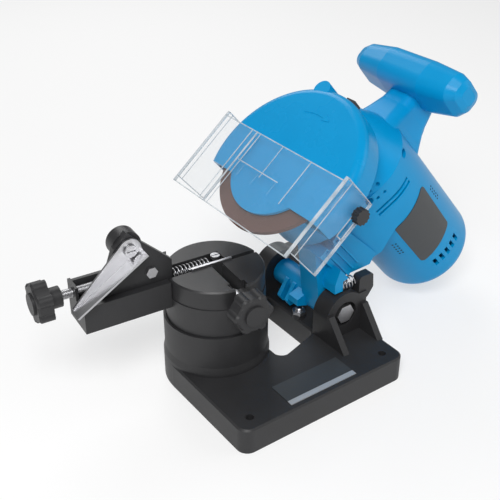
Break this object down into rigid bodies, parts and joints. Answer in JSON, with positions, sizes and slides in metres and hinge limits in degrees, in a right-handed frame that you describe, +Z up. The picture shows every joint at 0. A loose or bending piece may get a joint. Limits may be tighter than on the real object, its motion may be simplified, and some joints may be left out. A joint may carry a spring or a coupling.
{
  "type": "electric chainsaw sharpener",
  "caption": "Bench-mounted electric chainsaw sharpener with a tilting blue motor head, grinding disc under a guard and clear shield, and a swivelling chain vise on a black base.",
  "frame": {"origin": "midpoint between the two front bench bolt holes, on the base's underside", "axes": "+X right along the front edge, +Y to the rear, +Z up"},
  "size_m": [0.3498, 0.156, 0.1968],
  "materials": {
    "cast_black": "satin",
    "black_plastic": "satin",
    "label_dark": "satin",
    "label_silver": "satin",
    "zinc_steel": "satin",
    "bright_steel": "satin",
    "blue_plastic": "gloss",
    "clear_plastic": "gloss",
    "disc_brown": "matte",
    "copper": "satin",
    "fan_plastic": "satin",
    "carbon": "matte"
  },
  "bodies": {
    "base": {"base_casting": "cast_black", "base_label": "label_dark", "label_strip": "label_silver", "hinge_bolt": "zinc_steel", "hinge_nut": "zinc_steel", "tilt_spring": "zinc_steel", "turret_washer": "zinc_steel", "depth_stop_nut": "zinc_steel"},
    "depth_stop": {"depth_stop_screw": "zinc_steel"},
    "vise": {"turret": "black_plastic", "turret_bolt": "zinc_steel", "rear_jaw": "bright_steel", "clamp_collar": "zinc_steel", "vise_rail": "black_plastic", "rail_end_plate": "black_plastic", "spring_hook_screw": "zinc_steel", "feed_spring": "zinc_steel"},
    "jaw": {"jaw_plate": "bright_steel"},
    "clamp": {"clamp_screw": "zinc_steel", "clamp_knob": "black_plastic"},
    "carriage": {"chain_stop_carriage": "black_plastic", "carriage_screw": "zinc_steel", "finger_pivot_screw": "zinc_steel"},
    "finger": {"chain_stop_finger": "bright_steel"},
    "feed": {"feed_screw": "zinc_steel", "feed_knob": "black_plastic"},
    "head": {"housing_near": "blue_plastic", "housing_far": "blue_plastic", "housing_screws": "zinc_steel", "end_cap": "blue_plastic", "cord_gland": "black_plastic", "motor_label": "label_dark", "handle": "blue_plastic", "switch_body": "black_plastic", "guard": "blue_plastic", "guard_back_plate": "blue_plastic", "guard_latch": "black_plastic", "shield_studs": "zinc_steel", "thumb_nut_near": "black_plastic", "thumb_nut_far": "black_plastic", "spindle_bearings": "bright_steel", "motor_bearings": "bright_steel", "stator": "bright_steel", "brush_holders": "black_plastic", "brushes": "carbon"},
    "trigger": {"trigger": "blue_plastic"},
    "shield": {"shield": "clear_plastic"},
    "disc": {"grinding_disc": "disc_brown", "outer_flange": "bright_steel", "disc_screw": "zinc_steel", "inner_flange": "bright_steel", "spindle": "bright_steel", "spindle_gear": "bright_steel"},
    "rotor": {"motor_pinion": "bright_steel", "motor_shaft": "bright_steel", "armature": "bright_steel", "commutator": "copper", "fan": "fan_plastic"}
  },
  "joints": [
    {"name": "depth_stop", "type": "slide", "parent": "base", "child": "depth_stop", "axis": [0, 0, 1], "range_m": [-0.004, 0]},
    {"name": "vise_swivel", "type": "hinge", "parent": "base", "child": "vise", "pos_m": [-0.0314, 0.075, 0.03], "axis": [0, 0, 1], "range_deg": [-30, 40]},
    {"name": "jaw_slide", "type": "slide", "parent": "vise", "child": "jaw", "axis": [0.0872, 0.9962, 0], "range_m": [0, 0.0012]},
    {"name": "clamp_turn", "type": "hinge", "parent": "jaw", "child": "clamp", "pos_m": [-0.03331, 0.03602, 0.0735], "axis": [0.0872, 0.9962, 0], "range_deg": [0, 432]},
    {"name": "carriage_slide", "type": "slide", "parent": "vise", "child": "carriage", "axis": [-0.9962, 0.0872, 0], "range_m": [0, 0.004]},
    {"name": "feed_turn", "type": "hinge", "parent": "carriage", "child": "feed", "pos_m": [-0.12954, 0.10065, 0.0855], "axis": [-0.9962, 0.0872, 0], "range_deg": [0, 1440]},
    {"name": "finger_flip", "type": "hinge", "parent": "carriage", "child": "finger", "pos_m": [-0.09008, 0.08013, 0.1144], "axis": [0.0872, 0.9962, 0], "range_deg": [0, 245]},
    {"name": "head_tilt", "type": "hinge", "parent": "base", "child": "head", "pos_m": [0.0495, 0.075, 0.037], "axis": [0, -1, 0], "range_deg": [0, 17]},
    {"name": "trigger_press", "type": "slide", "parent": "head", "child": "trigger", "axis": [-0.6428, 0, 0.766], "range_m": [0, 0.004], "stiffness_N_per_m": 800},
    {"name": "shield_lift", "type": "slide", "parent": "head", "child": "shield", "axis": [0.766, 0, 0.6428], "range_m": [0, 0.014]},
    {"name": "disc_spin", "type": "hinge", "parent": "head", "child": "disc", "pos_m": [0.02513, 0.075, 0.14097], "axis": [0.6428, 0, -0.766], "continuous": true},
    {"name": "motor_spin", "type": "hinge", "parent": "head", "child": "rotor", "pos_m": [0.11902, 0.075, 0.09131], "axis": [0.6428, 0, -0.766], "continuous": true}
  ],
  "couplings": [
    {"joint": "clamp_turn", "follows": "jaw_slide", "rad_per_m": 6283.2},
    {"joint": "feed_turn", "follows": "carriage_slide", "rad_per_m": 6283.2},
    {"joint": "motor_spin", "follows": "disc_spin", "ratio": -2.2}
  ]
}
